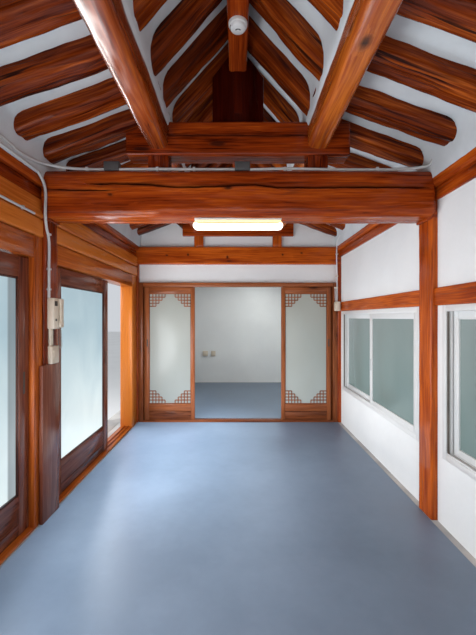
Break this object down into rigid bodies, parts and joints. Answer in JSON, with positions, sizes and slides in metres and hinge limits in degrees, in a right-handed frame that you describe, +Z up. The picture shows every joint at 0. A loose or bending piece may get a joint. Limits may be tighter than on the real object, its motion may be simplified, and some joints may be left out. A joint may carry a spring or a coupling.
{
  "type": "hanok house wing with timber frame and tiled gable roof",
  "caption": "Timber-framed hanok wing on a stone plinth: open rafters over a living room, glazed sliding doors, lattice partition, bedroom, plaster walls and a tiled gable roof.",
  "frame": {"origin": "on the ground under the middle of the wing, at the bottom of the plinth", "axes": "+X to the right across the wing as seen from the living room's camera end, +Y along the ridge towards the bedroom, +Z up"},
  "size_m": [4.6, 9.04, 4.4],
  "materials": {
    "pine": "glossy clear varnish over orange-brown pine with knots and drying cracks",
    "dark_pine": "glossy varnish over dark red-brown pine",
    "plaster": "flat white lime plaster",
    "stone": "dressed pale granite",
    "concrete": "polished blue-grey screed",
    "tile": "matt grey fired clay",
    "door": "varnished pine round pale frosted glass",
    "pvc": "white window profile round frosted glass",
    "conduit": "light grey plastic",
    "beige": "ivory plastic",
    "opal": "opal diffuser"
  },
  "bodies": {
    "house": {"stone_plinth": "stone", "floor_slab": "concrete", "main_left_post": "pine", "main_right_post": "pine", "partition_left_post": "pine", "partition_right_post": "pine", "main_left_strut": "dark_pine", "main_right_strut": "dark_pine", "main_beam": "pine", "main_upper_beam": "pine", "main_king_board": "dark_pine", "partition_truss": "pine", "partition_door_frame": "door", "partition_head_panel": "plaster", "partition_plaster": "plaster", "front_gable_frame": "pine", "back_gable_frame": "pine", "front_gable_wall": "plaster", "back_gable_wall": "plaster", "front_verge_boards": "dark_pine", "back_verge_boards": "dark_pine", "ridge_purlin": "pine", "left_eave_purlin": "pine", "right_eave_purlin": "pine", "left_middle_purlin": "pine", "right_middle_purlin": "pine", "left_lower_rafters": "pine", "right_lower_rafters": "pine", "upper_rafters": "pine", "left_ceiling": "plaster", "right_ceiling": "plaster", "left_roof": "tile", "right_roof": "tile", "roof_ridge": "tile", "left_door_frame_1": "pine", "left_door_frame_2": "pine", "left_lintel_1": "pine", "left_lintel_2": "pine", "left_wall_3": "plaster", "left_rail_3": "pine", "right_wall_1": "plaster", "right_wall_2": "plaster", "right_wall_3": "plaster", "right_rail_1": "pine", "right_rail_2": "pine", "right_rail_3": "pine", "right_window_1": "pvc", "right_window_2": "pvc", "right_window_3": "pvc", "ceiling_lamp": "opal", "smoke_detector": "pvc", "beam_conduit": "conduit", "post_conduit": "conduit", "intercom": "beige"},
    "left_inner_door_1": {"left_inner_door_1": "door"},
    "left_outer_door_1": {"left_outer_door_1": "door"},
    "left_inner_door_2": {"left_inner_door_2": "door"},
    "left_outer_door_2": {"left_outer_door_2": "door"},
    "partition_left_door": {"partition_left_door": "door"},
    "partition_right_door": {"partition_right_door": "door"}
  },
  "joints": [
    {"name": "left_inner_door_1_slide", "type": "slide", "parent": "house", "child": "left_inner_door_1", "axis": [0, -1, 0], "range_m": [0, 1.225]},
    {"name": "left_outer_door_1_slide", "type": "slide", "parent": "house", "child": "left_outer_door_1", "axis": [0, -1, 0], "range_m": [0, 1.155]},
    {"name": "left_inner_door_2_slide", "type": "slide", "parent": "house", "child": "left_inner_door_2", "axis": [0, 1, 0], "range_m": [0, 0.725]},
    {"name": "left_outer_door_2_slide", "type": "slide", "parent": "house", "child": "left_outer_door_2", "axis": [0, 1, 0], "range_m": [0, 0.725]},
    {"name": "partition_left_door_slide", "type": "slide", "parent": "house", "child": "partition_left_door", "axis": [1, 0, 0], "range_m": [0, 0.569]},
    {"name": "partition_right_door_slide", "type": "slide", "parent": "house", "child": "partition_right_door", "axis": [-1, 0, 0], "range_m": [0, 0.569]}
  ]
}
